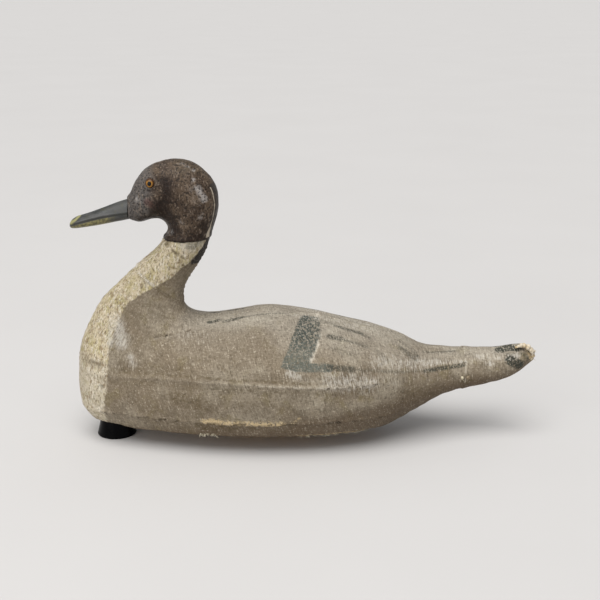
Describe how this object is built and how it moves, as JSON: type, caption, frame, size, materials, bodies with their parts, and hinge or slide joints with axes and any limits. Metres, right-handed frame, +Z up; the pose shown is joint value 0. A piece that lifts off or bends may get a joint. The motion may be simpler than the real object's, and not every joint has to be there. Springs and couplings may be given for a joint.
{
  "type": "floating duck decoy",
  "caption": "Floating drake decoy: painted canvas over a wooden frame, long neck, carved head with glass eyes, ballast keel and a line ring.",
  "frame": {"origin": "on the surface that the decoy stands on, under the middle of its length from bill tip to tail tip, in its plane of symmetry", "axes": "+X towards the tail, so the bill points to -X; +Z up; the plane Y = 0 is the plane of symmetry, and the left side of the duck is at -Y"},
  "size_m": [0.462, 0.1502, 0.2848],
  "materials": {
    "pine": "bare, weathered pine",
    "frame_strip": "sawn strip",
    "plywood": "bare plywood",
    "dowel": "turned birch",
    "body_canvas": "oil paint on canvas, matte, worn to the weave",
    "neck_canvas": "cream oil paint on canvas, matte, stained",
    "tail_canvas": "oil paint on canvas, matte, torn at the tip",
    "head_paint": "dark brown oil paint on carved wood, rubbed",
    "bill_paint": "slate grey oil paint on carved wood, satin",
    "eye_glass": "amber glass with a black pupil",
    "steel": "dull steel",
    "tack_iron": "blued iron with a little rust",
    "lead": "oxidised grey metal",
    "brass_wire": "tarnished",
    "black_foot": "black, glossy"
  },
  "bodies": {
    "decoy": {"bottom_board": "pine", "keel": "pine", "breast_block": "pine", "neck_core": "pine", "neck_post": "pine", "tail_block": "pine", "left_stringer": "frame_strip", "right_stringer": "frame_strip", "ridge_strip": "frame_strip", "rib_1": "plywood", "rib_2": "plywood", "rib_3": "plywood", "rib_4": "plywood", "rib_5": "plywood", "left_canvas": "body_canvas", "right_canvas": "body_canvas", "neck_canvas": "neck_canvas", "tail_canvas": "tail_canvas", "head": "head_paint", "bill": "bill_paint", "neck_dowel": "dowel", "bill_tenon": "dowel", "left_eye": "eye_glass", "right_eye": "eye_glass", "eye_pins": "steel", "board_screws": "steel", "keel_screws": "steel", "ballast_screws": "steel", "foot_screw": "steel", "hem_tacks": "tack_iron", "sleeve_tacks": "tack_iron", "ballast": "lead", "line_eye": "brass_wire", "breast_foot": "black_foot"},
    "ring": {"line_ring": "brass_wire"}
  },
  "joints": [
    {"name": "ring_swing", "type": "hinge", "parent": "decoy", "child": "ring", "pos_m": [-0.158, 0, 0.01495], "axis": [0, 1, 0], "range_deg": [-115, 115]}
  ]
}
